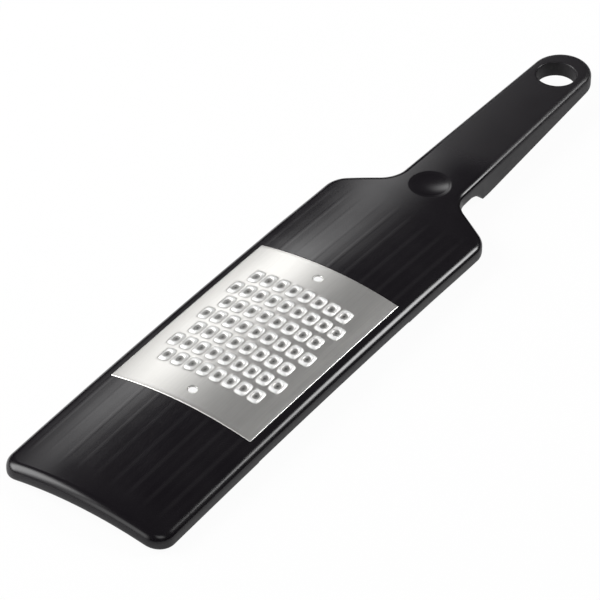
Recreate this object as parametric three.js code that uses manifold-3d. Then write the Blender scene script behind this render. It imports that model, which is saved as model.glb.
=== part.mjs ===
// Ginger grater: a moulded body with its handle, a pressed steel grating plate, and the frame that holds it.
// Millimetres. X runs from the front edge to the handle's tip, Y across, Z up. The part lies on Z = 0.

import * as THREE from 'three';
import { mergeVertices } from 'three/addons/utils/BufferGeometryUtils.js';
import Module from 'manifold-3d';

const wasm = await Module();
wasm.setup();

// Plan sizes, chained from the front edge to the handle's tip
const frontMargin = 49.8; // front edge to the plate
const plateLength = 78.5;
const plateWidth = 53;
const shoulderRun = 44.5; // plate to the corner of the shoulder
const slopeRun = 9.75; // corner of the shoulder to the corner of the neck
const handleLength = 91.8; // corner of the neck to the tip
const frontRail = 4.35; // plate's side to the body's side, at the front edge
const shoulderRail = 3.55; // the same at the shoulder
const neckWidth = 24.3;
const tipWidth = 20.1; // between the handle's sides, where they would meet the tip
const frontCornerRadius = 6.5;
const shoulderRadius = 8;
const neckRadius = 9;

// Heights and sections
const boardThickness = 5.3;
const boardArchRadius = 125; // across the board
const handleArchRadius = 170;
const camberRadius = 2548; // along the board
const frontSlope = 0.0437; // rise of the crest at the front edge
const camberOverrun = 2.75; // the board keeps its section this far past the plate
const blendRun = 53; // from there to where the handle's own section begins
const handleDepth = 9.8; // crest of the handle above the surface that the part lies on
const tipDepth = 5.3;
const frontEdgeRound = 3.3;
const sideEdgeRound = 1.8;
const edgeRoundRun = 20; // the front's edge round fades to the sides' over this length
const boardLowerRound = 1.6;
const handleLowerRound = 0.5; // from the heel on

// Thumb dish, hanging hole and bowl stop
const dishFromNeck = 2.3; // corner of the neck to the dish's centre
const dishRadius = 7.2;
const dishDepth = 0.85;
const holeFromTip = 13.3;
const holeRadius = 6.75;
const stopFromNeck = 8.3; // corner of the neck to where the stop's hollow begins
const stopRadius = 10;
const heelLength = 4; // flat foot behind the stop

// Grating plate and the seat that holds it
const sheet = 0.5;
const plateProud = 0.12; // plate's top above the board's
const plateBend = 0.4; // outer radius of the turned-down edge
const plateCornerRadius = 1;
const flangeWidth = 0.7;
const seatSkin = 1.9; // board left over the flange
const clearance = 0.15;
const seatRelief = 1.4; // the board's underside is cut back by this along the seat
const reliefOverrun = 0.3;
const frameSideWidth = 2.7;
const frameEndWidth = 1.25;

// Teeth and pilot holes
const rowPitch = 7.72;
const columnPitch = 4.82;
const rowEndMargin = 15; // plate's end to the first row's centres, at least
const columnSideMargin = 6; // plate's side to the outermost centres, at least
const toothBase = { along: 2.95, across: 2 }; // half sizes
const toothCrest = { along: 2, across: 1.5 };
const toothHeight = 0.48;
const craterTop = { along: 1.5, across: 1.05 };
const craterFoot = { along: 2, across: 1.5 };
const pilotFromEnd = 6.5;
const pilotRadius = 1.45;

// Mesh fineness
const boardColumns = 12;
const plateColumns = 10;
const cornerSteps = 6;
const toothSides = 8;
const tipSteps = 9;
const stopSteps = 6;
const roundSteps = 3;
const boardStep = 9;
const plateStep = 20;
const holeSides = 48;
const pilotSides = 20;
const dishSides = 40;
const dishRings = 32;
const cutOver = 5; // cutters reach this far past what they cut
const slopeProbe = 0.5; // distance over which the board's slope is taken
const nearestShare = 0.02; // outline points closer than this share of their stretch are left out

// Stations along X
const plateStart = frontMargin;
const plateEnd = plateStart + plateLength;
const plateCentre = plateStart + plateLength / 2;
const shoulderX = plateEnd + shoulderRun;
const neckX = shoulderX + slopeRun;
const overallLength = neckX + handleLength;
const blendStart = plateEnd + camberOverrun;
const blendEnd = blendStart + blendRun;
const stopStart = neckX + stopFromNeck;
const stopDrop = handleDepth - boardThickness;
const heelX = stopStart + Math.sqrt(stopRadius ** 2 - (stopRadius - stopDrop) ** 2);
const heelEnd = heelX + heelLength;
const holeX = overallLength - holeFromTip;
const dishX = neckX + dishFromNeck;

// Half widths
const frontHalf = plateWidth / 2 + frontRail;
const shoulderHalf = plateWidth / 2 + shoulderRail;
const neckHalf = neckWidth / 2;
const tipHalf = tipWidth / 2;

// Heights of the seat's layers, from the board's top surface
const plateUnderside = plateProud - sheet;
const flangeTop = -(seatSkin + clearance);
const flangeBottom = flangeTop - sheet;
const frameTop = flangeBottom - clearance;
const frameBottom = seatRelief - boardThickness;
const seatReach = flangeWidth + clearance;

// The board's top surface: an arch across, a camber along, easing into the handle's flatter section
function blendAt(x) {
  return THREE.MathUtils.clamp((x - blendStart) / (blendEnd - blendStart), 0, 1);
}

function archDrop(x, y) {
  const curvature = THREE.MathUtils.lerp(1 / boardArchRadius, 1 / handleArchRadius, blendAt(x));
  const radius = 1 / curvature;
  return radius - Math.sqrt(radius ** 2 - y ** 2);
}

const frontCrest = boardThickness + archDrop(0, frontHalf - boardLowerRound);

function crest(x) {
  const board = frontCrest + frontSlope * x - x ** 2 / (2 * camberRadius);
  return THREE.MathUtils.lerp(board, handleDepth, THREE.MathUtils.smoothstep(blendAt(x), 0, 1));
}

function topSurface(x, y) {
  return crest(x) - archDrop(x, y);
}

function draped(offset) {
  return (x, y) => topSurface(x, y) + offset;
}

function level(z) {
  return () => z;
}

// The body's underside: the board's even thickness, the stop's hollow, the flat heel and the tapering handle
function underside(x, y) {
  if (x <= stopStart) {
    return topSurface(x, y) - boardThickness;
  }
  if (x < heelX) {
    const flattening = (x - stopStart) / (heelX - stopStart);
    const hollow = stopRadius - Math.sqrt(stopRadius ** 2 - (x - stopStart) ** 2);
    return crest(x) - (1 - flattening) * archDrop(x, y) - boardThickness - hollow;
  }
  const taper = (handleDepth - tipDepth) / (overallLength - heelEnd);
  return Math.max(0, x - heelEnd) * taper;
}

// Outlines: the left half, as points with outward directions, mirrored by the slab that is built on them
function outwardOf(direction) {
  return new THREE.Vector2(-direction.y, direction.x);
}

function roundedCorner(before, corner, after, radius, divisions) {
  const inward = corner.clone().sub(before).normalize();
  const onward = after.clone().sub(corner).normalize();
  const turn = Math.atan2(inward.cross(onward), inward.dot(onward));
  const side = turn < 0 ? 1 : -1;
  const tangent = radius * Math.tan(Math.abs(turn) / 2);
  const firstOutward = outwardOf(inward);
  const centre = corner.clone().addScaledVector(inward, -tangent);
  centre.addScaledVector(firstOutward, -radius * side);
  const points = [];
  for (let i = 0; i <= divisions; i++) {
    const outward = firstOutward.clone().rotateAround(new THREE.Vector2(), (turn * i) / divisions);
    points.push({ place: centre.clone().addScaledVector(outward, radius * side), outward });
  }
  return points;
}

function straight(from, to, longestStep, extraX) {
  const span = to.clone().sub(from);
  const outward = outwardOf(span.clone().normalize());
  const pieces = Math.ceil(span.length() / longestStep);
  const shares = extraX.map((x) => (x - from.x) / span.x);
  for (let i = 1; i < pieces; i++) {
    shares.push(i / pieces);
  }
  const used = [0, 1];
  const kept = shares.filter((share) => {
    const clear = used.every((other) => Math.abs(other - share) > nearestShare);
    if (clear) {
      used.push(share);
    }
    return clear && share > 0 && share < 1;
  });
  kept.sort((a, b) => a - b);
  return kept.map((share) => ({ place: from.clone().addScaledVector(span, share), outward }));
}

function outline(corners, length, longestStep, extraX = []) {
  const start = new THREE.Vector2(0, 0);
  const end = new THREE.Vector2(length, 0);
  const path = [start, ...corners.map((corner) => corner.place), end];
  const points = [];
  corners.forEach((corner, i) => {
    const arc = roundedCorner(path[i], path[i + 1], path[i + 2], corner.radius, corner.divisions);
    if (points.length > 0) {
      points.push(...straight(points.at(-1).place, arc[0].place, longestStep, extraX));
    }
    points.push(...arc);
  });
  return points;
}

function bodyOutline() {
  const frontCorner = new THREE.Vector2(0, frontHalf);
  const shoulder = new THREE.Vector2(shoulderX, shoulderHalf);
  const neck = new THREE.Vector2(neckX, neckHalf);
  const tip = new THREE.Vector2(overallLength, tipHalf);
  const handleSide = tip.clone().sub(neck);
  const tipTurn = Math.PI / 2 - Math.abs(Math.atan2(handleSide.y, handleSide.x));
  const tipRadius = tipHalf / Math.tan(tipTurn / 2);
  const stopStations = [heelX, heelEnd, stopStart];
  for (let i = 1; i < stopSteps; i++) {
    stopStations.push(THREE.MathUtils.lerp(stopStart, heelX, i / stopSteps));
  }
  return outline(
    [
      { place: frontCorner, radius: frontCornerRadius, divisions: cornerSteps },
      { place: shoulder, radius: shoulderRadius, divisions: cornerSteps },
      { place: neck, radius: neckRadius, divisions: cornerSteps },
      { place: tip, radius: tipRadius, divisions: tipSteps + 0.5 },
    ],
    overallLength,
    boardStep,
    stopStations,
  );
}

// A rectangle with rounded corners about the plate's centre
function plateOutline(reachAlong, reachAcross, radius) {
  const length = plateLength + 2 * reachAlong;
  const half = plateWidth / 2 + reachAcross;
  const points = outline(
    [
      { place: new THREE.Vector2(0, half), radius, divisions: roundSteps },
      { place: new THREE.Vector2(length, half), radius, divisions: roundSteps },
    ],
    length,
    plateStep,
  );
  points.forEach((point) => {
    point.place.x += plateStart - reachAlong;
  });
  return points;
}

// A closed slab over an outline, between two height functions, with its upper and lower edges rounded
function slab(rows, columns, top, bottom, upperRound = level(0), lowerRound = level(0)) {
  const positions = [];
  const faces = [];
  const lastRow = rows.length - 1;

  function planPoint(row, column, inset) {
    const share = 1 - (2 * column) / columns;
    const { place, outward } = rows[row];
    if (row === 0 || row === lastRow) {
      const direction = new THREE.Vector2(outward.x, outward.y * share).normalize();
      return [place.x - inset * direction.x, place.y * share - inset * direction.y];
    }
    return [place.x - inset * outward.x, (place.y - inset * outward.y) * share];
  }

  function addVertex(row, column, inset, height, lift) {
    const [x, y] = planPoint(row, column, inset);
    positions.push(x, y, height(x, y) + lift);
    return positions.length / 3 - 1;
  }

  function addGrid(height, round) {
    return rows.map((point, row) => {
      const inset = round(point.place.x);
      return Array.from({ length: columns + 1 }, (_, column) => addVertex(row, column, inset, height, 0));
    });
  }

  const rim = [];
  for (let column = 0; column <= columns; column++) {
    rim.push([0, column]);
  }
  for (let row = 1; row < lastRow; row++) {
    rim.push([row, columns]);
  }
  for (let column = columns; column >= 0; column--) {
    rim.push([lastRow, column]);
  }
  for (let row = lastRow - 1; row > 0; row--) {
    rim.push([row, 0]);
  }

  function addRing(height, round, angle, sign) {
    return rim.map(([row, column]) => {
      const radius = round(rows[row].place.x);
      const inset = radius * (1 - Math.sin(angle));
      return addVertex(row, column, inset, height, sign * radius * (1 - Math.cos(angle)));
    });
  }

  function joinRings(upper, lower) {
    upper.forEach((vertex, i) => {
      const next = (i + 1) % upper.length;
      faces.push(vertex, lower[i], lower[next], vertex, lower[next], upper[next]);
    });
  }

  const topGrid = addGrid(top, upperRound);
  const bottomGrid = addGrid(bottom, lowerRound);
  for (let row = 0; row < lastRow; row++) {
    for (let column = 0; column < columns; column++) {
      const near = topGrid[row];
      const far = topGrid[row + 1];
      faces.push(near[column], near[column + 1], far[column + 1], near[column], far[column + 1], far[column]);
      const nearUnder = bottomGrid[row];
      const farUnder = bottomGrid[row + 1];
      faces.push(nearUnder[column], farUnder[column + 1], nearUnder[column + 1]);
      faces.push(nearUnder[column], farUnder[column], farUnder[column + 1]);
    }
  }
  const rings = [rim.map(([row, column]) => topGrid[row][column])];
  const middle = rows[Math.floor(lastRow / 2)].place.x;
  if (upperRound(middle) > 0) {
    for (let i = 1; i <= roundSteps; i++) {
      rings.push(addRing(top, upperRound, ((i / roundSteps) * Math.PI) / 2, -1));
    }
  }
  if (lowerRound(middle) > 0) {
    for (let i = roundSteps; i >= 1; i--) {
      rings.push(addRing(bottom, lowerRound, ((i / roundSteps) * Math.PI) / 2, 1));
    }
  }
  rings.push(rim.map(([row, column]) => bottomGrid[row][column]));
  for (let i = 1; i < rings.length; i++) {
    joinRings(rings[i - 1], rings[i]);
  }

  const geometry = new THREE.BufferGeometry();
  geometry.setAttribute('position', new THREE.Float32BufferAttribute(positions, 3));
  geometry.setIndex(faces);
  return solid(geometry);
}

// Solids for joining and cutting, and back to geometry
function solid(geometry) {
  geometry.deleteAttribute('normal');
  geometry.deleteAttribute('uv');
  const merged = mergeVertices(geometry);
  const vertProperties = new Float32Array(merged.attributes.position.array);
  const triVerts = new Uint32Array(merged.index.array);
  return new wasm.Manifold(new wasm.Mesh({ numProp: 3, vertProperties, triVerts }));
}

function meshOf(name, shape, material) {
  const { vertProperties, triVerts } = shape.getMesh();
  const geometry = new THREE.BufferGeometry();
  geometry.setAttribute('position', new THREE.Float32BufferAttribute(vertProperties, 3));
  geometry.setIndex(new THREE.Uint32BufferAttribute(triVerts, 1));
  geometry.computeVertexNormals();
  const mesh = new THREE.Mesh(geometry, material);
  mesh.name = name;
  return mesh;
}

// An upright round cutter at a point on the centre line
function drill(x, radius, sides) {
  const height = handleDepth + boardThickness + 2 * cutOver;
  const geometry = new THREE.CylinderGeometry(radius, radius, height, sides);
  geometry.rotateX(Math.PI / 2);
  geometry.translate(x, 0, height / 2 - cutOver);
  return solid(geometry);
}

function upperEdgeRound(x) {
  return THREE.MathUtils.lerp(frontEdgeRound, sideEdgeRound, THREE.MathUtils.smoothstep(x, 0, edgeRoundRun));
}

function lowerEdgeRound(x) {
  const share = THREE.MathUtils.smoothstep(x, stopStart, heelX);
  return THREE.MathUtils.lerp(boardLowerRound, handleLowerRound, share);
}

function thumbDish() {
  const radius = (dishRadius ** 2 + dishDepth ** 2) / (2 * dishDepth);
  const geometry = new THREE.SphereGeometry(radius, dishSides, dishRings);
  geometry.rotateX(Math.PI / 2);
  geometry.translate(dishX, 0, topSurface(dishX, 0) - dishDepth + radius);
  return solid(geometry);
}

function plateSeat() {
  const ceiling = frontCrest + handleDepth + cutOver;
  const windowRows = plateOutline(clearance, clearance, plateCornerRadius + clearance);
  const window = slab(windowRows, plateColumns, level(ceiling), level(-cutOver));
  const seatRows = plateOutline(seatReach, seatReach, plateCornerRadius + seatReach);
  const seat = slab(seatRows, plateColumns, draped(-seatSkin), level(-cutOver));
  const reliefAcross = frontRail + cutOver;
  const reliefRows = plateOutline(seatReach + reliefOverrun, reliefAcross, clearance);
  const relief = slab(reliefRows, plateColumns, draped(frameBottom), level(-cutOver));
  return window.add(seat).add(relief);
}

function body() {
  const board = slab(bodyOutline(), boardColumns, topSurface, underside, upperEdgeRound, lowerEdgeRound);
  return board.subtract(plateSeat()).subtract(thumbDish()).subtract(drill(holeX, holeRadius, holeSides));
}

// A plug square to the board's top surface, tapering from its foot to its head and on past both by over
function taperedPlug(x, y, foot, head, from, to, over) {
  const cornerReach = 1 / Math.cos(Math.PI / toothSides);
  const corners = Array.from({ length: toothSides }, (_, i) => {
    const angle = ((2 * i + 1) / toothSides) * Math.PI;
    return new THREE.Vector2(cornerReach * Math.cos(angle), cornerReach * Math.sin(angle));
  });
  const depth = to - from + 2 * over;
  const geometry = new THREE.ExtrudeGeometry(new THREE.Shape(corners), { depth, bevelEnabled: false });
  const position = geometry.attributes.position;
  for (let i = 0; i < position.count; i++) {
    const share = (position.getZ(i) - over) / (to - from);
    position.setX(i, position.getX(i) * THREE.MathUtils.lerp(foot.along, head.along, share));
    position.setY(i, position.getY(i) * THREE.MathUtils.lerp(foot.across, head.across, share));
  }
  geometry.translate(0, 0, from - over);
  const slopeX = (topSurface(x + slopeProbe, y) - topSurface(x - slopeProbe, y)) / (2 * slopeProbe);
  const slopeY = (topSurface(x, y + slopeProbe) - topSurface(x, y - slopeProbe)) / (2 * slopeProbe);
  const upright = new THREE.Vector3(0, 0, 1);
  const normal = new THREE.Vector3(-slopeX, -slopeY, 1).normalize();
  geometry.applyQuaternion(new THREE.Quaternion().setFromUnitVectors(upright, normal));
  geometry.translate(x, y, topSurface(x, y));
  return solid(geometry);
}

function toothPlaces() {
  const rowCount = Math.floor((plateLength - 2 * rowEndMargin) / rowPitch) + 1;
  const columnCount = Math.floor((plateWidth - 2 * columnSideMargin) / columnPitch) + 1;
  const places = [];
  for (let row = 0; row < rowCount; row++) {
    const x = plateCentre + (row - (rowCount - 1) / 2) * rowPitch;
    const inRow = row % 2 === 0 ? columnCount - 1 : columnCount;
    for (let column = 0; column < inRow; column++) {
      places.push({ x, y: (column - (inRow - 1) / 2) * columnPitch });
    }
  }
  return places;
}

function gratingPlate() {
  const bendRound = level(plateBend);
  const shellRows = plateOutline(0, 0, plateCornerRadius);
  const shell = slab(shellRows, plateColumns, draped(plateProud), draped(flangeTop - sheet / 2), bendRound);
  const flangeRows = plateOutline(flangeWidth, flangeWidth, plateCornerRadius + flangeWidth);
  const flange = slab(flangeRows, plateColumns, draped(flangeTop), draped(flangeBottom));
  const hollowRows = plateOutline(-sheet, -sheet, plateCornerRadius - sheet);
  const hollow = slab(hollowRows, plateColumns, draped(plateUnderside), draped(flangeBottom - cutOver));
  let plate = shell.add(flange).subtract(hollow);
  const crownTop = plateProud + toothHeight;
  for (const { x, y } of toothPlaces()) {
    const crown = taperedPlug(x, y, toothBase, toothCrest, plateProud - sheet / 2, crownTop, 0);
    const crater = taperedPlug(x, y, craterFoot, craterTop, plateUnderside, crownTop, sheet);
    plate = plate.add(crown).subtract(crater);
  }
  for (const x of [plateStart + pilotFromEnd, plateEnd - pilotFromEnd]) {
    plate = plate.subtract(drill(x, pilotRadius, pilotSides));
  }
  return plate;
}

function retainingFrame() {
  const outerRows = plateOutline(flangeWidth, flangeWidth, plateCornerRadius + flangeWidth);
  const outer = slab(outerRows, plateColumns, draped(frameTop), draped(frameBottom));
  const endReach = flangeWidth - frameEndWidth;
  const sideReach = flangeWidth - frameSideWidth;
  const innerRows = plateOutline(endReach, sideReach, plateCornerRadius);
  const inner = slab(innerRows, plateColumns, draped(frameTop + cutOver), draped(frameBottom - cutOver));
  return outer.subtract(inner);
}

const blackPlastic = new THREE.MeshStandardMaterial({ color: 0x17171a, roughness: 0.42, metalness: 0 });
const brushedSteel = new THREE.MeshStandardMaterial({ color: 0xc6c9cb, roughness: 0.35, metalness: 1 });
const framePlastic = new THREE.MeshStandardMaterial({ color: 0x1b1b1d, roughness: 0.5, metalness: 0 });

// The origin is under the middle of the part's length, on the surface that it lies on
const grater = new THREE.Group();
grater.position.x = -overallLength / 2;
grater.add(meshOf('body', body(), blackPlastic));
grater.add(meshOf('grating_plate', gratingPlate(), brushedSteel));
grater.add(meshOf('plate_retaining_frame', retainingFrame(), framePlastic));

const part = new THREE.Group();
part.add(grater);

export default part;
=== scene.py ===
"""Looks of the ginger grater: the moulded black body and the pressed steel plate, lit as in a small studio.

Sizes are in millimetres, with x measured from the front edge as in the part's source, and go to the frame's
metres in one place.
"""

import math
import random

import bpy
import numpy as np
from mathutils import Matrix, Quaternion, Vector


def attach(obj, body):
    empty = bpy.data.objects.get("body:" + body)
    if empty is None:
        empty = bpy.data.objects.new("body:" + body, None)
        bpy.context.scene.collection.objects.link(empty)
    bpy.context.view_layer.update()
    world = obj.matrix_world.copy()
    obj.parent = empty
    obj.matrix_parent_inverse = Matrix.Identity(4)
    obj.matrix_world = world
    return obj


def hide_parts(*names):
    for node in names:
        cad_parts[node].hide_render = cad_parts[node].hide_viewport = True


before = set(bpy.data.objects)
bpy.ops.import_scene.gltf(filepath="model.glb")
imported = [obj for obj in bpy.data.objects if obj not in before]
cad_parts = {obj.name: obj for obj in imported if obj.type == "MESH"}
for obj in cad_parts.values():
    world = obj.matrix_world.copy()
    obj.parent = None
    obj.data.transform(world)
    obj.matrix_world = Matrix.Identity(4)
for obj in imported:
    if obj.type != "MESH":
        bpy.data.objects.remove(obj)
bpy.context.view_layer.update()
metre = 0.001

# Plan of the body
plate_start = 49.8
plate_length = 78.5
plate_width = 53
shoulder_run = 44.5
slope_run = 9.75
handle_length = 91.8
front_rail = 4.35
shoulder_rail = 3.55
neck_half = 12.15
tip_half = 10.05
front_corner_radius = 6.5
shoulder_radius = 8
neck_radius = 9
tip_fullness = 0.9995  # of the largest round that fits, so that the end keeps a sliver of straight edge
front_bow = 0.4
front_bow_run = 40
plate_end = plate_start + plate_length
plate_centre = plate_start + plate_length / 2
shoulder_x = plate_end + shoulder_run
neck_x = shoulder_x + slope_run
overall_length = neck_x + handle_length
front_half = plate_width / 2 + front_rail
shoulder_half = plate_width / 2 + shoulder_rail

# Section of the body
board_thickness = 5.3
board_arch_radius = 125
handle_arch_radius = 170
camber_radius = 2548
front_slope = 0.0437
camber_overrun = 2.75  # the board keeps its section this far past the plate
blend_run = 53
blend_start = plate_end + camber_overrun
blend_end = blend_start + blend_run
handle_depth = 9.8
tip_depth = 5.3
front_round = 3.3
crown_round = 3.4
crown_turn = math.radians(28)
corner_round = 1.6
board_lower_round = 1.6
handle_lower_round = 0.5

# Thumb dish, hanging hole and bowl stop
dish_from_neck = 2.3
dish_radius = 7.2
dish_depth = 0.85
dish_lip = 3
dish_rim_slope = 2  # degrees, where its lip meets the top
hole_from_tip = 13.3
hole_radius = 6.75
hole_lip = 0.5
hole_wall_slope = 88  # degrees
hole_rim_slope = 7
stop_from_neck = 8.3
stop_radius = 10
heel_length = 4
dish_x = neck_x + dish_from_neck
hole_x = overall_length - hole_from_tip
stop_start = neck_x + stop_from_neck
stop_drop = handle_depth - board_thickness
heel_x = stop_start + math.sqrt(stop_radius**2 - (stop_radius - stop_drop) ** 2)
heel_end = heel_x + heel_length
handle_taper = (handle_depth - tip_depth) / (overall_length - heel_end)

# Plate and its seat, heights from the board's top surface
sheet = 0.5
plate_top = 0.12
plate_under = plate_top - sheet
plate_bend = 0.25
plate_corner_radius = 1
flange_width = 0.7
flange_bend = 0.2
flange_inner_bend = 0.3
clearance = 0.15
seat_skin = 1.9
flange_top = -(seat_skin + clearance)
flange_bottom = flange_top - sheet
seat_reach = flange_width + clearance
seat_relief = 1.4
relief_depth = board_thickness - seat_relief
relief_overrun = 0.3
relief_reach = 6  # past the plate's sides, and so past the body's

# Teeth and pilot holes
row_pitch = 7.72
column_pitch = 4.82
row_count = 7
most_in_row = 9
tooth_foot = (3.44, 2.24)  # half length and half width
tooth_crest = (1.98, 1.48)
crater_floor = (1.1, 0.72)
crater_hole = (0.28, 0.2)
tooth_height = 0.48
side_lip = 0.4  # height of a tooth's sides, as a share of its front and rear lips
foot_squareness = 3.5
crest_squareness = 2.6
crater_squareness = 2
hollow_share = 0.75  # how far the sheet's underside follows the lip
height_scatter = 0.05  # from tooth to tooth, as shares
size_scatter = 0.015
tooth_seed = 11
pilot_from_end = 6.5
pilot_radius = 1.45
pilot_half = 3  # of the patch of sheet round a pilot hole

# Mesh fineness
body_columns = 72
body_step = 1.5
seat_columns = 48
seat_step = 2
front_corner_steps = 14
shoulder_steps = 16
tip_steps = 40
stop_steps = 12
seat_corner_steps = 4
rim_steps = 6
lip_steps = 8
bowl_rings = 16
turned_sides = 96
segments_across = 12
segments_along = 16
sheet_segments = 3
least_segment = 0.3  # of a step, at the plate's sides
outside_steps = 6
crater_steps = 6
hollow_steps = 5
even_after = 5  # rings from a patch's edge to where its points are spread evenly
even_before = 3
fan_steps = 4
bend_steps = 6
slope_probe = 0.01
weld_digits = 3  # decimals to which points of the plate count as one
cut_over = 2  # the seat's cutters reach this far below the body
dish_clear = 4  # heights of the dish's and the hole's cutters over the surface
hole_clear = 3
hole_depth = 12
body_crease = 32  # degrees
plate_crease = 50


def lerp(a, b, share):
    return a + (b - a) * share


def smooth(share):
    share = np.clip(share, 0, 1)
    return share * share * (3 - 2 * share)


# The board's top surface: an arch across, a camber along, easing into the handle's flatter section
def blend_at(x):
    return np.clip((x - blend_start) / (blend_end - blend_start), 0, 1)


def arch_drop(x, y):
    radius = 1 / lerp(1 / board_arch_radius, 1 / handle_arch_radius, blend_at(x))
    return radius - np.sqrt(radius**2 - y**2)


front_crest = board_thickness + arch_drop(0, front_half - board_lower_round)


def crest(x):
    board = front_crest + front_slope * x - x**2 / (2 * camber_radius)
    return lerp(board, handle_depth, smooth(blend_at(x)))


def top_surface(x, y):
    return crest(x) - arch_drop(x, y)


def draped(offset):
    return lambda x, y: top_surface(x, y) + offset


def level(z):
    return lambda x, y: z


def underside(x, y):
    if x <= stop_start:
        return top_surface(x, y) - board_thickness
    if x < heel_x:
        flattening = (x - stop_start) / (heel_x - stop_start)
        hollow = stop_radius - math.sqrt(stop_radius**2 - (x - stop_start) ** 2)
        return crest(x) - (1 - flattening) * arch_drop(x, y) - board_thickness - hollow
    return max(0, x - heel_end) * handle_taper


def lower_round(x):
    share = smooth((x - stop_start) / (heel_x - stop_start))
    return float(lerp(board_lower_round, handle_lower_round, share))


def rim_rings():
    """Inset and drop of the upper rim's rings, at the sides and at the front.

    The sides roll over gently and then turn down in a small round; the front is one full round."""
    sides = []
    for i in range(rim_steps + 1):
        turn = crown_turn * i / rim_steps
        inset = crown_round * (math.sin(crown_turn) - math.sin(turn))
        inset += corner_round * (1 - math.sin(crown_turn))
        sides.append((inset, crown_round * (1 - math.cos(turn))))
    low = sides[-1][1]
    for i in range(1, rim_steps + 1):
        turn = lerp(crown_turn, math.pi / 2, i / rim_steps)
        drop = low + corner_round * (math.cos(crown_turn) - math.cos(turn))
        sides.append((corner_round * (1 - math.sin(turn)), drop))
    front = []
    for i in range(2 * rim_steps + 1):
        turn = math.pi / 2 * i / (2 * rim_steps)
        front.append((front_round * (1 - math.sin(turn)), front_round * (1 - math.cos(turn))))
    return list(zip(sides, front))


# Outlines: the left half as points with outward directions
def outward_of(direction):
    return Vector((-direction.y, direction.x))


def rounded_corner(before, corner, after, radius, divisions):
    inward = (corner - before).normalized()
    onward = (after - corner).normalized()
    turn = math.atan2(inward.x * onward.y - inward.y * onward.x, inward.dot(onward))
    side = 1 if turn < 0 else -1
    first = outward_of(inward)
    centre = corner - inward * (radius * math.tan(abs(turn) / 2)) - first * (radius * side)
    points = []
    for i in range(divisions + 1):
        outward = first.copy()
        outward.rotate(Matrix.Rotation(turn * i / divisions, 2))
        points.append((centre + outward * (radius * side), outward))
    return points


def straight(start, end, step, stations):
    span = end - start
    outward = outward_of(span.normalized())
    pieces = max(1, math.ceil(span.length / step))
    shares = {round(i / pieces, 6) for i in range(1, pieces)}
    shares |= {round((x - start.x) / span.x, 6) for x in stations if start.x < x < end.x}
    return [(start + span * share, outward) for share in sorted(shares)]


def outline(corners, length, step, stations=()):
    path = [Vector((0, 0))] + [corner[0] for corner in corners] + [Vector((length, 0))]
    points = []
    for i, (place, radius, divisions) in enumerate(corners):
        arc = rounded_corner(path[i], place, path[i + 2], radius, divisions)
        if points:
            points += straight(points[-1][0], arc[0][0], step, stations)
        points += arc
    return points


def body_outline():
    neck = Vector((neck_x, neck_half))
    tip = Vector((overall_length, tip_half))
    side = tip - neck
    tip_turn = math.pi / 2 - abs(math.atan2(side.y, side.x))
    tip_radius = tip_half / math.tan(tip_turn / 2) * tip_fullness
    stop_stations = [lerp(stop_start, heel_x, i / stop_steps) for i in range(stop_steps + 1)]
    corners = [
        (Vector((0, front_half)), front_corner_radius, front_corner_steps),
        (Vector((shoulder_x, shoulder_half)), shoulder_radius, shoulder_steps),
        (neck, neck_radius, shoulder_steps),
        (tip, tip_radius, tip_steps),
    ]
    return outline(corners, overall_length, body_step, stop_stations + [heel_end])


def plate_outline(reach_along, reach_across, radius):
    length = plate_length + 2 * reach_along
    half = plate_width / 2 + reach_across
    ends = (Vector((0, half)), Vector((length, half)))
    corners = [(end, radius, seat_corner_steps) for end in ends]
    shift = Vector((plate_start - reach_along, 0))
    return [(place + shift, outward) for place, outward in outline(corners, length, seat_step)]


# A closed slab over an outline between two heights, with its upper and lower edges rounded
plain_edge = [((0, 0), (0, 0))]  # one ring, with no inset or drop at the sides and at the front


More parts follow.
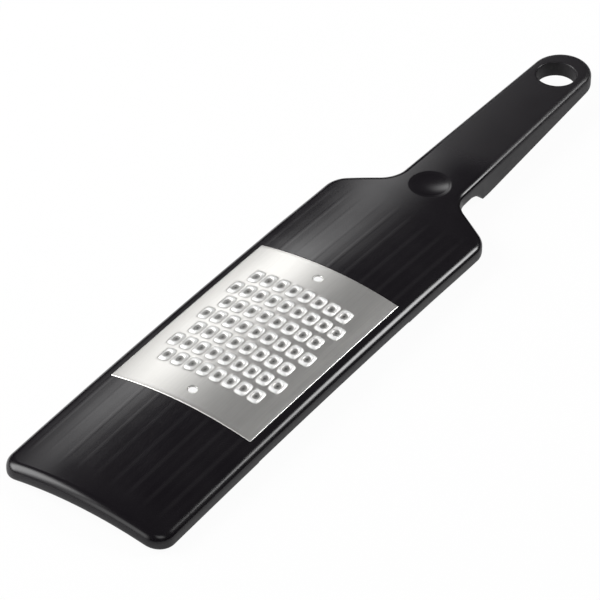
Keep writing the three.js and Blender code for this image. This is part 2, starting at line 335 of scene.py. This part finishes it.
def slab(rows, columns, top, bottom, upper_rim=plain_edge, lower=None):
    vertices = []
    faces = []
    last = len(rows) - 1

    def add_vertex(row, column, inset, height, lift):
        share = 1 - 2 * column / columns
        place, outward = rows[row]
        if row in (0, last):
            direction = Vector((outward.x, outward.y * share)).normalized()
            x = place.x - inset * direction.x
            y = place.y * share - inset * direction.y
        else:
            x = place.x - inset * outward.x
            y = (place.y - inset * outward.y) * share
        vertices.append((x, y, float(height(x, y)) + lift))
        return len(vertices) - 1

    def upper_at(row, ring):
        side, front = upper_rim[ring]
        facing = max(0, -rows[row][1].x) ** 2
        return lerp(side[0], front[0], facing), lerp(side[1], front[1], facing)

    def lower_at(row):
        return lower(rows[row][0].x) if lower else 0

    def grid(inset_of, height):
        made = []
        for r in range(last + 1):
            made.append([add_vertex(r, c, inset_of(r), height, 0) for c in range(columns + 1)])
        return made

    rim = [(0, column) for column in range(columns + 1)]
    rim += [(row, columns) for row in range(1, last)]
    rim += [(last, column) for column in range(columns, -1, -1)]
    rim += [(row, 0) for row in range(last - 1, 0, -1)]
    top_grid = grid(lambda row: upper_at(row, 0)[0], top)
    low_grid = grid(lower_at, bottom)
    for r in range(last):
        for c in range(columns):
            top_row, top_next = top_grid[r], top_grid[r + 1]
            low_row, low_next = low_grid[r], low_grid[r + 1]
            faces.append((top_row[c], top_row[c + 1], top_next[c + 1], top_next[c]))
            faces.append((low_row[c], low_next[c], low_next[c + 1], low_row[c + 1]))
    rings = [[top_grid[r][c] for r, c in rim]]
    for ring in range(1, len(upper_rim)):
        made = []
        for r, c in rim:
            inset, drop = upper_at(r, ring)
            made.append(add_vertex(r, c, inset, top, -drop))
        rings.append(made)
    if lower:
        for turn in (math.pi / 2 * i / rim_steps for i in range(rim_steps, 0, -1)):
            inset = 1 - math.sin(turn)
            lift = 1 - math.cos(turn)
            made = []
            for r, c in rim:
                made.append(add_vertex(r, c, lower_at(r) * inset, bottom, lower_at(r) * lift))
            rings.append(made)
    rings.append([low_grid[r][c] for r, c in rim])
    for first, second in zip(rings, rings[1:]):
        for i in range(len(first)):
            j = (i + 1) % len(first)
            faces.append((first[i], second[i], second[j], first[j]))
    return vertices, faces


def bowed(vertices):
    """The front edge stands a little further forward in its middle than at its corners."""
    moved = []
    for x, y, z in vertices:
        share = float(smooth(1 - x / front_bow_run)) * (1 - (y / front_half) ** 2)
        moved.append((x - front_bow * share, y, z))
    return moved


def turned(profile, x, drape):
    """A solid of revolution about an upright axis on the centre line, where its profile starts and ends."""
    vertices = []
    faces = []
    rings = []
    for radius, z in profile:
        count = turned_sides if radius > 0 else 1
        rings.append(range(len(vertices), len(vertices) + count))
        for i in range(count):
            angle = 2 * math.pi * i / turned_sides
            px = radius * math.cos(angle)
            py = radius * math.sin(angle)
            vertices.append((x + px, py, z + float(drape(x + px, py))))
    for low, high in zip(rings, rings[1:]):
        for i in range(turned_sides):
            a, b = low[i % len(low)], low[(i + 1) % len(low)]
            c, d = high[(i + 1) % len(high)], high[i % len(high)]
            faces.append(tuple(dict.fromkeys((a, b, c, d))))
    return vertices, faces


def mesh_object(name, vertices, faces):
    mesh = bpy.data.meshes.new(name)
    places = np.asarray(vertices, float) - (overall_length / 2, 0, 0)
    mesh.from_pydata((places * metre).tolist(), [], faces)
    piece = bpy.data.objects.new(name, mesh)
    bpy.context.scene.collection.objects.link(piece)
    return piece


def cut(piece, cutters):
    for cutter in cutters:
        modifier = piece.modifiers.new(cutter.name, "BOOLEAN")
        modifier.object = cutter
        modifier.operation = "DIFFERENCE"
        modifier.solver = "MANIFOLD"
    whole = piece.evaluated_get(bpy.context.evaluated_depsgraph_get())
    mesh = bpy.data.meshes.new_from_object(whole)
    piece.modifiers.clear()
    piece.data = mesh
    for cutter in cutters:
        bpy.data.objects.remove(cutter)


def shade(piece, angle):
    piece.data.shade_smooth()
    piece.data.set_sharp_from_angle(angle=math.radians(angle))


# Body
def lip_arc(radius, start, end):
    """Points of a rounded lip from one slope to another in degrees, measured from its lower end."""
    slopes = [math.radians(lerp(start, end, i / lip_steps)) for i in range(lip_steps + 1)]
    foot = slopes[0]
    top = slopes[-1]
    along = [radius * (math.sin(foot) - math.sin(slope)) for slope in slopes]
    rise = [radius * (math.cos(slope) - math.cos(top)) for slope in slopes]
    return list(zip(along, rise))


def cutter_top(radius, rim_slope, clear):
    """The end of a cutter's profile: 1 mm on from its lip at the same slope, then up and in to the axis."""
    return [(radius + 1, math.tan(math.radians(rim_slope))), (radius + 1, clear), (0, clear)]


def dish_cutter():
    """A shallow bowl that meets the top surface through a wide rounded lip."""
    bowl = (dish_radius**2 + dish_depth**2) / (2 * dish_depth)
    edge_slope = math.degrees(math.asin(dish_radius / bowl))
    lip = lip_arc(dish_lip, edge_slope, dish_rim_slope)
    reach = dish_radius - lip[-1][0]
    low = -lip[-1][1]
    ball = reach / math.sin(math.radians(edge_slope))
    bowl_floor = low - ball * (1 - math.cos(math.radians(edge_slope)))
    profile = []
    for i in range(bowl_rings):
        slope = math.radians(edge_slope) * i / bowl_rings
        profile.append((ball * math.sin(slope), bowl_floor + ball * (1 - math.cos(slope))))
    profile += [(reach + along, low + rise) for along, rise in lip]
    profile += cutter_top(profile[-1][0], dish_rim_slope, dish_clear)
    return mesh_object("dish_cutter", *turned(profile, dish_x, top_surface))


def hole_cutter(from_above):
    lip = lip_arc(hole_lip, hole_wall_slope, hole_rim_slope)
    rise = lip[-1][1]
    profile = [(0, -hole_depth), (hole_radius, -hole_depth)]
    profile += [(hole_radius + along, height - rise) for along, height in lip]
    profile += cutter_top(profile[-1][0], hole_rim_slope, hole_clear)
    if from_above:
        return mesh_object("hole_cutter", *turned(profile, hole_x, top_surface))
    flipped = [(radius, -height) for radius, height in reversed(profile)]
    return mesh_object("lower_hole_cutter", *turned(flipped, hole_x, underside))


def seat_cutter(name, reach_along, reach_across, radius, top):
    rows = plate_outline(reach_along, reach_across, radius)
    return mesh_object(name, *slab(rows, seat_columns, top, level(-cut_over)))


def make_body():
    vertices, faces = slab(body_outline(), body_columns, top_surface, underside, rim_rings(), lower_round)
    body = mesh_object("moulded_body", bowed(vertices), faces)
    ceiling = front_crest + handle_depth
    window_radius = plate_corner_radius + clearance
    window = seat_cutter("window", clearance, clearance, window_radius, level(ceiling))
    seat_radius = plate_corner_radius + seat_reach
    seat = seat_cutter("seat", seat_reach, seat_reach, seat_radius, draped(-seat_skin))
    relief_along = seat_reach + relief_overrun
    relief = seat_cutter("relief", relief_along, relief_reach, clearance, draped(-relief_depth))
    holes = [hole_cutter(from_above=True), hole_cutter(from_above=False)]
    cut(body, [window, seat, relief, dish_cutter()] + holes)
    shade(body, body_crease)
    return body


# Plate: rows of punched crowns as round patches in square cells, with plain sheet between them
# The crown's finish is a painted highlight, a paler colour, with more roughness.
crown_edge = (0.2, 0.4)  # shares of the way up the outside between which the crown's finish sets in
# The crater's finish is painted shade, a darker colour, with more roughness.
crater_edge = (0.36, 0.72)  # shares of the way down the inside between which it gives way to the crater's
# foot_shade: painted shade, a dark line round each tooth's foot; floor_shade: the share of the crater's
# painted shade kept at its floor.
foot_shade = 0.3
floor_shade = 0.64
pilot_rings = [
    # radius and height
    (pilot_radius + 0.5, 0),
    (pilot_radius + 0.1, 0),
    (pilot_radius + 0.03, -0.03),
    (pilot_radius, -0.1),
    (pilot_radius, -0.4),
    (pilot_radius + 0.1, -sheet),
    (pilot_radius + 0.5, -sheet),
]


class PlateMesh:
    def __init__(self):
        self.places = []
        # Per point: the share of painted shade (craters and tooth feet) and the share of the crown's
        # painted highlight.
        self.craters = []
        self.crowns = []
        self.faces = []
        self.known = {}

    def vertex(self, x, y, height, crater=0, crown=0):
        key = tuple(round(value, weld_digits) for value in (x, y, height))
        if key not in self.known:
            self.known[key] = len(self.places)
            self.places.append((x, y, height))
            self.craters.append(crater)
            self.crowns.append(crown)
        return self.known[key]

    def join(self, first, second):
        count = len(first)
        for i in range(count):
            j = (i + 1) % count
            self.faces.append((first[i], first[j], second[j], second[i]))


def cell_boundary(half_along, half_across, along, across):
    """Points round a rectangle, anticlockwise from the middle of its far side."""
    right = [(half_along, half_across * i * 2 / across) for i in range(-across // 2, across // 2)]
    top = [(half_along * (1 - 2 * i / along), half_across) for i in range(along)]
    left = [(-half_along, half_across * (1 - 2 * i / across)) for i in range(across)]
    low = [(half_along * (2 * i / along - 1), -half_across) for i in range(along)]
    points = right + top + left + low
    start = across // 2
    return points[start:] + points[:start]


def super_point(half_along, half_across, power, angle):
    c = abs(math.cos(angle) / half_along) ** power
    s = abs(math.sin(angle) / half_across) ** power
    reach = (c + s) ** (-1 / power)
    return reach * math.cos(angle), reach * math.sin(angle)


def patch(plate, x, y, half_along, half_across, along, across, rings):
    """One cell of the sheet: from its edge through the rings to its edge on the underside."""
    edge = cell_boundary(half_along, half_across, along, across)
    count = len(edge)
    loops = [[plate.vertex(x + px, y + py, plate_top) for px, py in edge]]
    for number, (a, b, power, height, crater, crown) in enumerate(rings):
        left = len(rings) - 1 - number
        share = min(1, number / even_after, left / even_before)
        loop = []
        for i, (px, py) in enumerate(edge):
            at_edge = math.atan2(py, px) % (2 * math.pi)
            even = 2 * math.pi * i / count
            gx, gy = super_point(a, b, power, lerp(at_edge, even, share))
            lip = lerp(side_lip, 1, float(smooth((gx / a) ** 2)))
            rise = height * lip if height > 0 else height
            loop.append(plate.vertex(x + gx, y + gy, plate_top + rise, crater, crown * lip))
        loops.append(loop)
    loops.append([plate.vertex(x + px, y + py, plate_under) for px, py in edge])
    for first, second in zip(loops, loops[1:]):
        plate.join(first, second)


def rise_between(edge, share):
    return float(smooth((share - edge[0]) / (edge[1] - edge[0])))


def ring_between(first, second, share):
    return [lerp(a, b, share) for a, b in zip(first, second)]


def tooth_rings():
    """Rings of one tooth: up its outside, down into its crater, through its hole and back under the sheet.

    Each has half sizes, squareness, height, its share of the crater's finish, which is painted shade with
    more roughness, and its share of the crown's finish, which is a painted highlight with more roughness."""
    rings = []
    for i in range(outside_steps):
        share = i / outside_steps
        crown = rise_between(crown_edge, share)
        # Painted shade: a dark line on the first ring up from each tooth's foot.
        painted_foot_line = foot_shade if i == 1 else 0
        squareness = lerp(foot_squareness, crest_squareness, share)
        height = tooth_height * float(smooth(share))
        half_sizes = ring_between(tooth_foot, tooth_crest, share)
        rings.append((*half_sizes, squareness, height, painted_foot_line, crown))
    for i in range(crater_steps + 1):
        share = i / crater_steps
        crater = rise_between(crater_edge, share)
        squareness = lerp(crest_squareness, crater_squareness, share)
        height = tooth_height * (1 - float(smooth(share)))
        # Painted shade in the crater, lighter towards its floor.
        shaded = crater * lerp(1, floor_shade, share)
        half_sizes = ring_between(tooth_crest, crater_floor, share)
        rings.append((*half_sizes, squareness, height, shaded, 1 - crater))
    rings.append((*crater_hole, crater_squareness, 0, 1, 0))
    rings.append((*crater_hole, crater_squareness, -sheet, 1, 0))
    for i in range(hollow_steps):
        share = i / hollow_steps
        lift = hollow_share * tooth_height * math.sin(math.pi * share)
        squareness = lerp(crater_squareness, foot_squareness, share)
        half_sizes = ring_between(crater_floor, tooth_foot, share)
        rings.append((*half_sizes, squareness, lift - sheet, 0, 0))
    return rings


def tooth_rows():
    for row in range(row_count):
        x = plate_centre + (row - (row_count - 1) / 2) * row_pitch
        count = most_in_row - 1 if row % 2 == 0 else most_in_row
        yield x, [(column - (count - 1) / 2) * column_pitch for column in range(count)]


def plate_lines():
    """Lines along and across the flat of the plate, so that cells and plain sheet share their corners."""
    step = column_pitch / segments_across
    edge = plate_width / 2 - plate_bend
    reach = math.floor(edge / step - least_segment)
    across = [-edge] + [k * step for k in range(-reach, reach + 1)] + [edge]
    start = plate_start + plate_bend
    end = plate_end - plate_bend
    rows_start = plate_centre - row_count * row_pitch / 2
    rows_end = plate_centre + row_count * row_pitch / 2
    near = plate_start + pilot_from_end
    far = plate_end - pilot_from_end
    fence = [start, near - pilot_half, near + pilot_half, rows_start]
    fence += [rows_end, far - pilot_half, far + pilot_half, end]
    pilot_end = [sheet_segments, segments_across, sheet_segments]
    pieces = pilot_end + [row_count * segments_along] + pilot_end
    along = [start]
    for first, second, count in zip(fence, fence[1:], pieces):
        along += [lerp(first, second, i / count) for i in range(1, count + 1)]
    return along, across, [near, far]


def punch(plate, pilots):
    """The cells with teeth and pilot holes; returns the blocks of sheet that they take up."""
    chance = random.Random(tooth_seed)
    half_cell = column_pitch / 2
    blocks = []
    for x, places in tooth_rows():
        blocks.append((x - row_pitch / 2, x + row_pitch / 2, len(places) * half_cell))
        for y in places:
            lift = 1 + chance.uniform(-height_scatter, height_scatter)
            grow = 1 + chance.uniform(-size_scatter, size_scatter)
            rings = []
            for a, b, power, height, crater, crown in tooth_rings():
                raised = height * lift if height > 0 else height
                rings.append((a * grow, b * grow, power, raised, crater, crown))
            patch(plate, x, y, row_pitch / 2, half_cell, segments_along, segments_across, rings)
    rings = [(radius, radius, 2, height, 0, 0) for radius, height in pilot_rings]
    for x in pilots:
        blocks.append((x - pilot_half, x + pilot_half, half_cell))
        patch(plate, x, 0, pilot_half, half_cell, segments_across, segments_across, rings)
    return blocks


def fill_sheet(plate, along, across, blocks):
    def covered(x, y):
        return any(low < x < high and abs(y) < half for low, high, half in blocks)

    for x0, x1 in zip(along, along[1:]):
        for y0, y1 in zip(across, across[1:]):
            if covered((x0 + x1) / 2, (y0 + y1) / 2):
                continue
            corners = [(x0, y0), (x1, y0), (x1, y1), (x0, y1)]
            plate.faces.append(tuple(plate.vertex(x, y, plate_top) for x, y in corners))
            plate.faces.append(tuple(plate.vertex(x, y, plate_under) for x, y in reversed(corners)))


def turn_edges_down(plate, along, across):
    """Turned-down edge and flange, walked anticlockwise round the flat."""
    quarter = math.pi / 2
    fan = [quarter * i / fan_steps for i in range(fan_steps + 1)]
    x0, x1, y0, y1 = along[0], along[-1], across[0], across[-1]
    walk = [(x1, y, 0) for y in across[1:-1]]
    walk += [(x1, y1, a) for a in fan]
    walk += [(x, y1, quarter) for x in reversed(along[1:-1])]
    walk += [(x0, y1, quarter + a) for a in fan]
    walk += [(x0, y, 2 * quarter) for y in reversed(across[1:-1])]
    walk += [(x0, y0, 2 * quarter + a) for a in fan]
    walk += [(x, y0, 3 * quarter) for x in along[1:-1]]
    walk += [(x1, y0, 3 * quarter + a) for a in fan]
    profile = []
    for i in range(bend_steps + 1):
        angle = quarter * i / bend_steps
        profile.append((plate_bend * math.sin(angle), plate_top - plate_bend * (1 - math.cos(angle))))
    outer = plate_bend + flange_width
    profile += [(plate_bend, flange_top + flange_bend), (plate_bend + flange_bend, flange_top)]
    profile += [(outer, flange_top), (outer, flange_bottom)]
    profile += [(flange_inner_bend, flange_bottom), (0, flange_bottom + flange_inner_bend)]
    profile += [(0, plate_under)]
    loops = []
    for reach, height in profile:
        loop = []
        for x, y, angle in walk:
            spot = (x + reach * math.cos(angle), y + reach * math.sin(angle), height)
            loop.append(plate.vertex(*spot))
        loops.append(loop)
    for first, second in zip(loops, loops[1:]):
        plate.join(second, first)


def draped_over_board(places):
    """Places over the flat, moved onto the board: raised parts stand square to its surface."""
    x, y, height = np.array(places).T
    run = 2 * slope_probe
    slope_x = (top_surface(x + slope_probe, y) - top_surface(x - slope_probe, y)) / run
    slope_y = (top_surface(x, y + slope_probe) - top_surface(x, y - slope_probe)) / run
    normal = np.stack([-slope_x, -slope_y, np.ones_like(x)], 1)
    normal /= np.linalg.norm(normal, axis=1)[:, None]
    raised = np.clip(height, 0, None)[:, None]
    return np.stack([x, y, top_surface(x, y) + np.minimum(height, 0)], 1) + normal * raised


def make_plate():
    plate = PlateMesh()
    along, across, pilots = plate_lines()
    blocks = punch(plate, pilots)
    fill_sheet(plate, along, across, blocks)
    turn_edges_down(plate, along, across)
    faces = []
    for face in plate.faces:
        kept = tuple(dict.fromkeys(face))
        if len(kept) > 2:
            faces.append(kept)
    piece = mesh_object("pressed_plate", draped_over_board(plate.places), faces)
    # The crater attribute carries painted shade and the crown attribute a painted highlight, each with more
    # roughness in the material.
    for name, values in (("crater", plate.craters), ("crown", plate.crowns)):
        layer = piece.data.attributes.new(name, "FLOAT", "POINT")
        layer.data.foreach_set("value", values)
    shade(piece, plate_crease)
    return piece


# Materials: each tree below is a material's, the world's or a lamp's nodes and their links
def new_material(name):
    material = bpy.data.materials.new(name)
    material.use_nodes = True
    tree = material.node_tree
    return material, tree, tree.nodes["Principled BSDF"]


def add(tree, kind, **settings):
    node = tree.nodes.new("ShaderNode" + kind)
    for name, value in settings.items():
        setattr(node, name, value)
    return node


def feed(tree, node, values):
    """Set a node's sockets, by number or by name, to plain values or link them to other sockets."""
    for key, value in values.items():
        if isinstance(value, bpy.types.NodeSocket):
            tree.links.new(value, node.inputs[key])
        else:
            node.inputs[key].default_value = value


def maths(tree, operation, *values):
    node = add(tree, "Math", operation=operation)
    feed(tree, node, dict(enumerate(values)))
    return node.outputs[0]


def ranged(tree, value, source, target, kind="LINEAR"):
    """A value moved from one range to another, and held at its ends."""
    node = add(tree, "MapRange", interpolation_type=kind)
    feed(tree, node, dict(enumerate((value, *source, *target))))
    return node.outputs[0]


def noise(tree, coordinates, scale, detail=2, roughness=0.5):
    node = add(tree, "TexNoise")
    feed(tree, node, {"Vector": coordinates, "Scale": scale, "Detail": detail, "Roughness": roughness})
    return node.outputs["Fac"]


def stretched(tree, coordinates, scale):
    node = add(tree, "Mapping")
    feed(tree, node, {"Vector": coordinates, "Scale": scale})
    return node.outputs["Vector"]


def parts_of(tree, vector):
    """The x, y and z of a vector."""
    node = add(tree, "SeparateXYZ")
    feed(tree, node, {"Vector": vector})
    return tuple(node.outputs)


def bump(tree, height, depth, below=None):
    """A normal from a height, with a strength and a distance in metres, on top of another normal if any."""
    node = add(tree, "Bump")
    strength, distance = depth
    feed(tree, node, {"Height": height, "Strength": strength, "Distance": distance})
    if below:
        feed(tree, node, {"Normal": below})
    return node.outputs["Normal"]


def tint(tree, share, first, second):
    """A colour between two others. The mix node has its two colours in sockets 6 and 7."""
    node = add(tree, "Mix", data_type="RGBA")
    feed(tree, node, {0: share, 6: first, 7: second})
    return node.outputs[2]


# Finish of the plastic: each place adds its roughness and its tint, a share of the light colour
noise_band = (0.3, 0.7)  # the part of a noise's range that is used
plastic_dark = (0.0038, 0.0025, 0.0043, 1)
plastic_light = (0.012, 0.0105, 0.0124, 1)
plastic_ior = 1.43
grain_scale = 9000
grain_bump = (0.08, 0.00002)
cloud_scale = 90
cloud_roughness = (0.16, 0.2)
cloud_tint = (0, 0.3)
wall_band = (0.25, 0.6)  # of the normal's upward part: a wall below it, the top above it
wall_roughness = 0.2
handle_finish = (194, 212)  # from the front edge: where the board's finish gives way to the handle's
handle_roughness = 0.14
handle_tint = 0.85

# Lines along the board: each stretch, from the front edge, is where they come in or fade out
rib_pitch = 6.2
rib_phase = 0.9
rib_fade = (0.02, 0.18)  # shares of the pitch between which a line fades to its sides
rib_bump = (0.35, 0.00004)
rib_tint = 0.7
weak_rib = 0.2
ribs_start = (5, 16)
ribs_stop = (158, 172)

# Finish of the steel
steel_dark = (0.08, 0.08, 0.078, 1)
steel_light = (0.88, 0.87, 0.838, 1)
# Painted highlight: the paler colour that the crowns take.
crown_painted_highlight = (0.95, 0.95, 0.945, 1)
fine_brushing = (90, 5200, 5200)
broad_brushing = (25, 900, 900)
fine_share = 0.7
brush_bump = (0.05, 0.00002)
brush_roughness = (0.31, 0.38)
brush_tint = (0.88, 1)
crater_roughness = 0.2
# Painted shade: how far the crater attribute darkens the steel's colour.
crater_painted_shade = 0.8
crown_roughness = 0.4


def along_stretch(tree, along, stretch, target):
    in_frame = [(x - overall_length / 2) * metre for x in stretch]
    return ranged(tree, along, in_frame, target, "SMOOTHSTEP")


def line_comb(tree, turns, strength):
    """One line for each whole turn, of the given strength on the line and fading to its sides."""
    phase = maths(tree, "FRACT", turns)
    off_line = maths(tree, "ABSOLUTE", maths(tree, "SUBTRACT", phase, 0.5))
    return ranged(tree, off_line, rib_fade, (strength, 0), "SMOOTHSTEP")


def rib_lines(tree, along, across):
    """Fine lines along the board, strong and weak by turns."""
    shift = 0.5 - rib_phase / rib_pitch
    turns = maths(tree, "MULTIPLY_ADD", across, 1 / (rib_pitch * metre), shift)
    strong = line_comb(tree, turns, 1)
    weak = line_comb(tree, maths(tree, "ADD", turns, 0.5), weak_rib)
    start = along_stretch(tree, along, ribs_start, (0, 1))
    stop = along_stretch(tree, along, ribs_stop, (1, 0))
    present = maths(tree, "MULTIPLY", start, stop)
    return maths(tree, "MULTIPLY", maths(tree, "ADD", strong, weak), present)


def satin_plastic(name, with_ribs):
    """Black plastic with a fine grain, duller on its walls; the board's has lines and a duller handle."""
    material, tree, shader = new_material(name)
    spot = add(tree, "TexCoord").outputs["Object"]
    cloud = noise(tree, spot, cloud_scale, 3)
    normal = bump(tree, noise(tree, spot, grain_scale), grain_bump)
    shine = ranged(tree, cloud, noise_band, cloud_roughness)
    share = ranged(tree, cloud, noise_band, cloud_tint)
    upward = parts_of(tree, add(tree, "NewGeometry").outputs["Normal"])[2]
    wall = ranged(tree, upward, wall_band, (1, 0), "SMOOTHSTEP")
    shine = maths(tree, "MULTIPLY_ADD", wall, wall_roughness, shine)
    if with_ribs:
        along, across, _ = parts_of(tree, spot)
        handle = along_stretch(tree, along, handle_finish, (0, 1))
        shine = maths(tree, "MULTIPLY_ADD", handle, handle_roughness, shine)
        share = maths(tree, "MULTIPLY_ADD", handle, handle_tint, share)
        lines = rib_lines(tree, along, across)
        normal = bump(tree, lines, rib_bump, normal)
        share = maths(tree, "MULTIPLY_ADD", lines, rib_tint, share)
    colour = tint(tree, share, plastic_dark, plastic_light)
    feed(tree, shader, {"Base Color": colour, "Roughness": shine, "Normal": normal, "IOR": plastic_ior})
    return material


def brushed_steel(name):
    """Brushed along the plate; the craters, with the line round each tooth's foot, are darker by painted
    shade and rougher, and the crowns are paler by a painted highlight and duller than the sheet.
    """
    material, tree, shader = new_material(name)
    spot = add(tree, "TexCoord").outputs["Object"]
    fine = noise(tree, stretched(tree, spot, fine_brushing), 1, 3, 0.6)
    broad = noise(tree, stretched(tree, spot, broad_brushing), 1)
    crater = add(tree, "Attribute", attribute_name="crater").outputs["Fac"]
    crown = add(tree, "Attribute", attribute_name="crown").outputs["Fac"]
    lines = maths(tree, "MULTIPLY_ADD", fine, fine_share, maths(tree, "MULTIPLY", broad, 1 - fine_share))
    shine = ranged(tree, lines, noise_band, brush_roughness)
    shine = maths(tree, "MULTIPLY_ADD", crater, crater_roughness, shine)
    shine = maths(tree, "MULTIPLY_ADD", crown, crown_roughness, shine)
    # Painted shade: the crater attribute darkens the colour.
    unshaded = maths(tree, "MULTIPLY_ADD", crater, -crater_painted_shade, 1)
    share = maths(tree, "MULTIPLY", ranged(tree, lines, noise_band, brush_tint), unshaded)
    # Painted highlight: the crowns take a paler colour.
    colour = tint(tree, crown, tint(tree, share, steel_dark, steel_light), crown_painted_highlight)
    normal = bump(tree, lines, brush_bump)
    feed(tree, shader, {"Base Color": colour, "Roughness": shine, "Normal": normal, "Metallic": 1})
    return material


def dress(piece, material):
    piece.data.materials.clear()
    piece.data.materials.append(material)


body = make_body()
plate = make_plate()
dress(body, satin_plastic("satin_black_plastic", with_ribs=True))
dress(plate, brushed_steel("brushed_steel"))
for piece, node, slot in ((body, "body", "body_plastic"), (plate, "grating_plate", "plate_steel")):
    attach(piece, "root")
    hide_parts(node)
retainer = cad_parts["plate_retaining_frame"]
dress(retainer, satin_plastic("matte_black_plastic", with_ribs=False))


# Stage
floor_half = 4000
floor_drop = 0.05
floor_white = (0.9, 0.9, 0.9, 1)
floor_glow = 0.95  # white to the camera, but for the shadow that the rest lets through
floor_glow_mirrored = 0.45
sky_low = (0.012, 0.012, 0.012, 1)
sky_high = (0.14, 0.14, 0.143, 1)
sky_band = (0.1, 0.6)  # upward parts of a direction between which one gives way to the other


def white_floor():
    material, tree, shader = new_material("white_floor")
    tree.nodes.remove(shader)
    plain = add(tree, "BsdfDiffuse")
    feed(tree, plain, {"Color": floor_white})
    glow = add(tree, "Emission")
    rays = add(tree, "LightPath").outputs
    bounced = maths(tree, "ADD", rays["Is Glossy Ray"], rays["Is Transmission Ray"])
    bounced = maths(tree, "MULTIPLY", bounced, floor_glow_mirrored)
    share = maths(tree, "MULTIPLY_ADD", rays["Is Camera Ray"], floor_glow, bounced)
    blend = add(tree, "MixShader")
    feed(tree, blend, {0: share, 1: plain.outputs[0], 2: glow.outputs[0]})
    feed(tree, tree.nodes["Material Output"], {"Surface": blend.outputs[0]})
    return material


floor_corners = [(-1, -1), (1, -1), (1, 1), (-1, 1)]
floor_places = [(x * floor_half, y * floor_half, -floor_drop) for x, y in floor_corners]
floor = mesh_object("floor", floor_places, [(0, 1, 2, 3)])
dress(floor, white_floor())

world = bpy.data.worlds.new("studio")
bpy.context.scene.world = world
world.use_nodes = True
sky_tree = world.node_tree
sky_height = parts_of(sky_tree, add(sky_tree, "TexCoord").outputs["Generated"])[2]
sky_share = ranged(sky_tree, sky_height, sky_band, (0, 1), "SMOOTHSTEP")
feed(sky_tree, sky_tree.nodes["Background"], {"Color": tint(sky_tree, sky_share, sky_low, sky_high)})


def softbox(name, azimuth, elevation, distance, width, height, radiance, feather, roll=0):
    """A lamp seen from the object at an azimuth and elevation in degrees, fading out towards its edges."""
    lamp = bpy.data.lights.new(name, "AREA")
    lamp.shape = "RECTANGLE"
    lamp.size = width
    lamp.size_y = height
    lamp.energy = radiance * math.pi * width * height
    lamp.use_nodes = True
    tree = lamp.node_tree
    strength = 1
    for side, run in zip(parts_of(tree, add(tree, "NewGeometry").outputs["Parametric"]), feather):
        nearest = maths(tree, "MINIMUM", side, maths(tree, "SUBTRACT", 1, side))
        fade = ranged(tree, nearest, (0, run), (0, 1), "SMOOTHSTEP")
        strength = maths(tree, "MULTIPLY", fade, strength)
    feed(tree, tree.nodes["Emission"], {"Strength": strength})
    holder = bpy.data.objects.new(name, lamp)
    a, e = math.radians(azimuth), math.radians(elevation)
    back = Vector((math.cos(e) * math.cos(a), math.cos(e) * math.sin(a), math.sin(e)))
    holder.location = back * distance
    turn = back.to_track_quat("Z", "Y") @ Quaternion((0, 0, 1), math.radians(roll))
    holder.rotation_euler = turn.to_euler()
    holder.visible_camera = False
    bpy.context.scene.collection.objects.link(holder)


# Lamps: azimuth and elevation, distance and sizes in metres, radiance, faded shares of the sides, roll
softbox("back_box", 48, 33, 0.742, 0.48, 0.23, 3.9, (0.46, 0.44), 2)
softbox("right_key", -32, 41, 1, 0.4, 0.5, 17, (0.4, 0.3))
softbox("left_box", 118, 30, 1.2, 1.3, 1.2, 7.4, (0.4, 0.3))
softbox("left_fill", 165, 22, 1.2, 1, 1, 2.4, (0.4, 0.4))
softbox("front_fill", 236, 48, 1.2, 0.7, 0.6, 2.4, (0.35, 0.35))

# Camera: its place from the middle of the plate's top in metres, and its turn in degrees
camera_lens = 224.914
camera_sensor = 36
camera_offset = Vector((-0.720259, -0.527786, 0.737105))
camera_turn = (50.9607, -0.3137, -54.374)
camera_data = bpy.data.cameras.new("camera")
camera_data.sensor_width = camera_sensor
camera_data.lens = camera_lens
camera = bpy.data.objects.new("camera", camera_data)
bpy.context.scene.collection.objects.link(camera)
bpy.context.scene.camera = camera
aim = Vector((plate_centre - overall_length / 2, 0, crest(plate_centre))) * metre
camera.location = aim + camera_offset
camera.rotation_euler = [math.radians(angle) for angle in camera_turn]

bpy.context.scene.view_settings.view_transform = "Standard"
